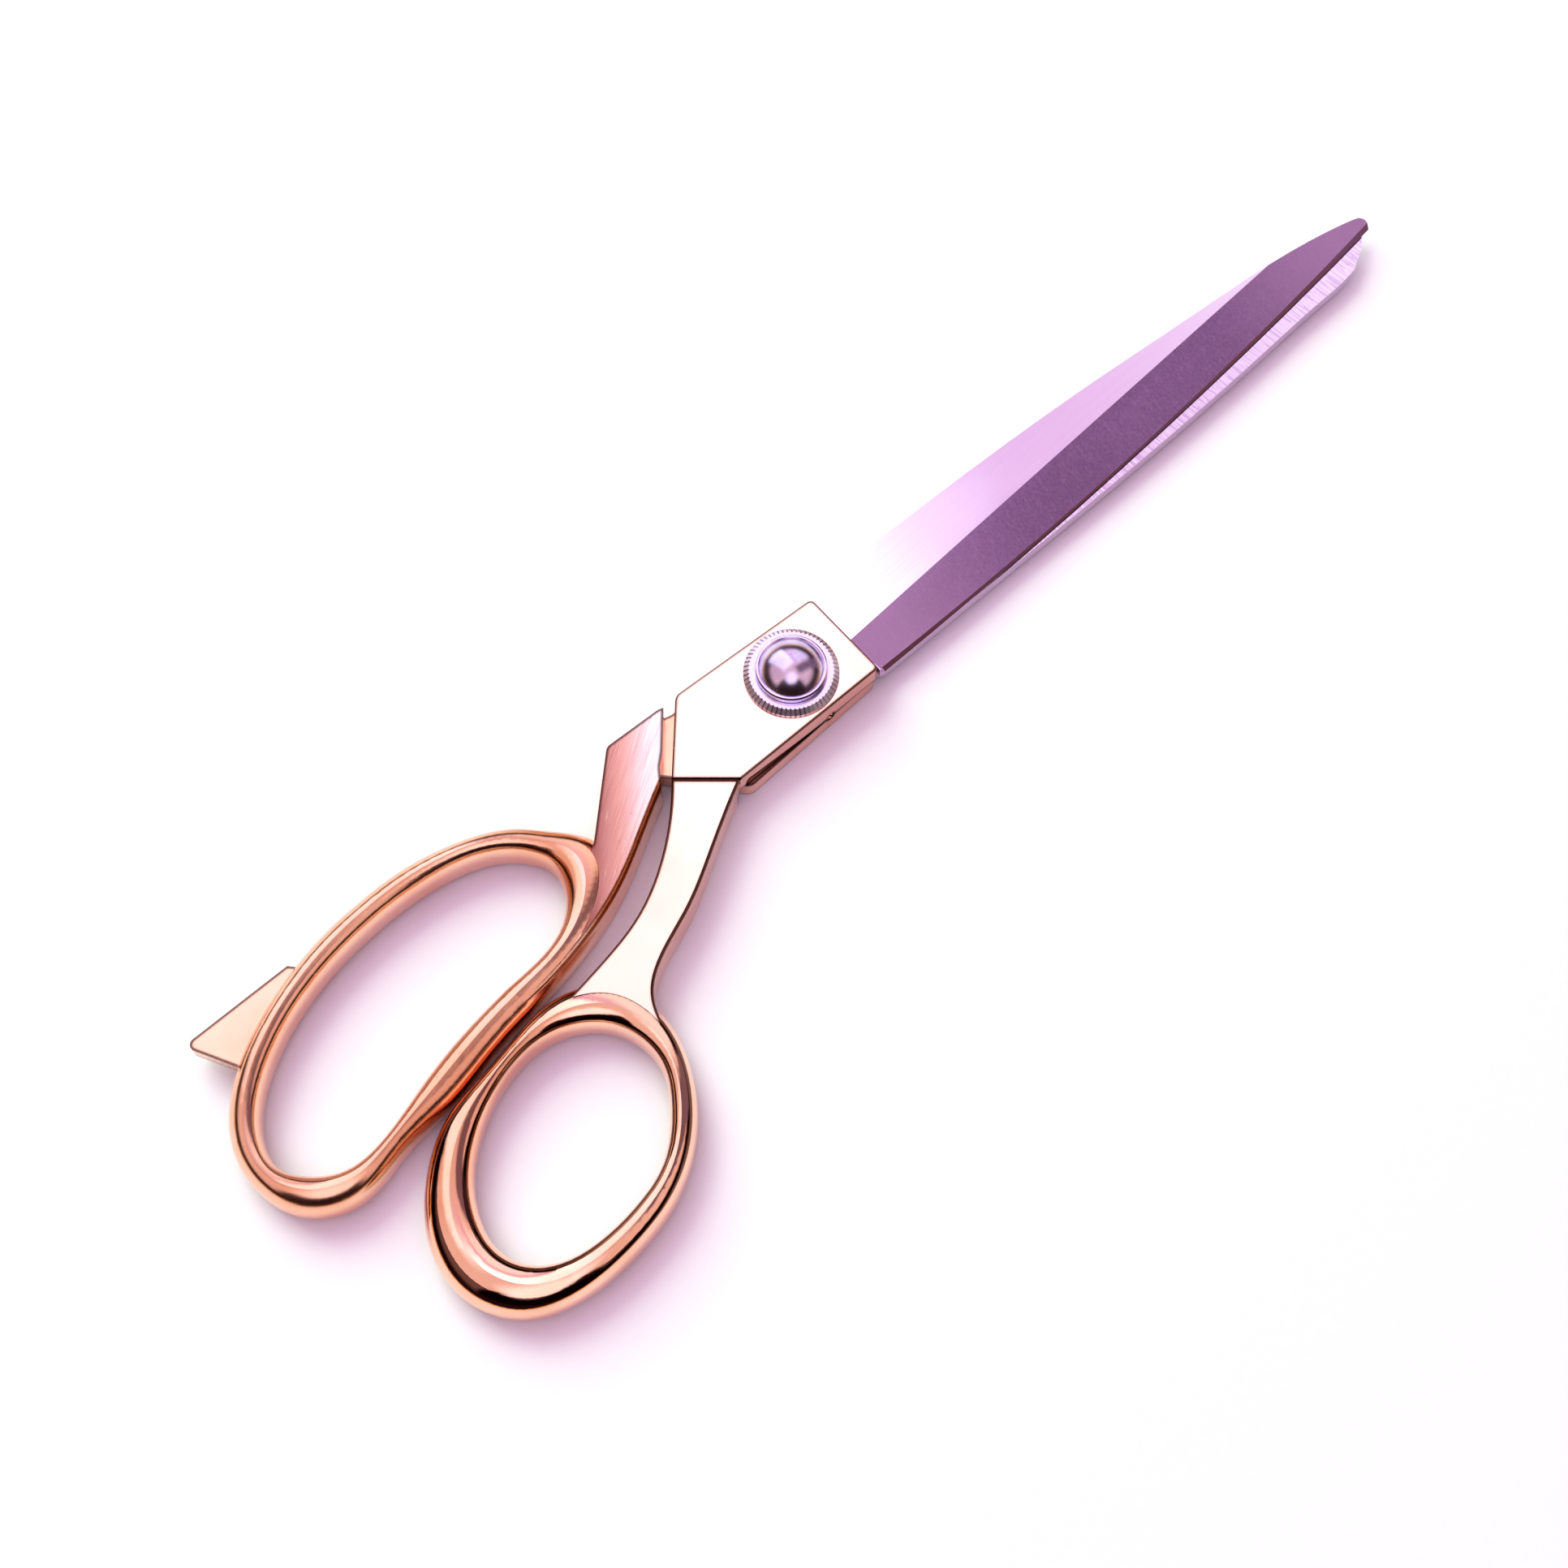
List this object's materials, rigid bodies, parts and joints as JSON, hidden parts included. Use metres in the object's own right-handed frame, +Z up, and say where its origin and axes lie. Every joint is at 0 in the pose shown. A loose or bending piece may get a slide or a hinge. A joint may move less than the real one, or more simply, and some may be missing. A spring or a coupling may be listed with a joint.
{
  "type": "tailor's shears",
  "caption": "Closed cutting shears with two beveled steel blades, a large finger bow, a smaller oval thumb bow and a domed pivot nut on a serrated washer.",
  "frame": {"origin": "on the pivot's axis, in the plane that the shears lie on", "axes": "+Z up along the pivot bolt, +X towards the blades' tips, +Y towards the back of the upper blade; the finger bow is at -X and +Y, the thumb bow at -X and -Y"},
  "size_m": [0.24, 0.0686, 0.0122],
  "materials": {
    "plated_casting": "rose-gold plated, mirror polished, lightly worn",
    "blade_steel": "fine ground, satin",
    "pivot_steel": "polished",
    "washer_brass": "bare, turned"
  },
  "bodies": {
    "lower_half": {"lower_handle": "plated_casting", "lower_blade": "blade_steel", "pivot_bolt": "pivot_steel", "friction_washer": "washer_brass", "spring_washer": "pivot_steel"},
    "upper_half": {"upper_handle": "plated_casting", "upper_blade": "blade_steel"},
    "washer": {"serrated_washer": "pivot_steel"},
    "nut": {"dome_nut": "pivot_steel"}
  },
  "joints": [
    {"name": "blade_pivot", "type": "hinge", "parent": "lower_half", "child": "upper_half", "pos_m": [0, 0, 0.0037], "axis": [0, 0, 1], "range_deg": [0, 60]},
    {"name": "washer_lift", "type": "slide", "parent": "lower_half", "child": "washer", "axis": [0, 0, 1], "range_m": [0, 0.000375], "deforming": ["spring_washer"]},
    {"name": "nut_turn", "type": "hinge", "parent": "washer", "child": "nut", "pos_m": [0, 0, 0.009], "axis": [0, 0, 1], "range_deg": [0, 180]}
  ],
  "couplings": [
    {"joint": "nut_turn", "follows": "washer_lift", "rad_per_m": 8377.6}
  ]
}
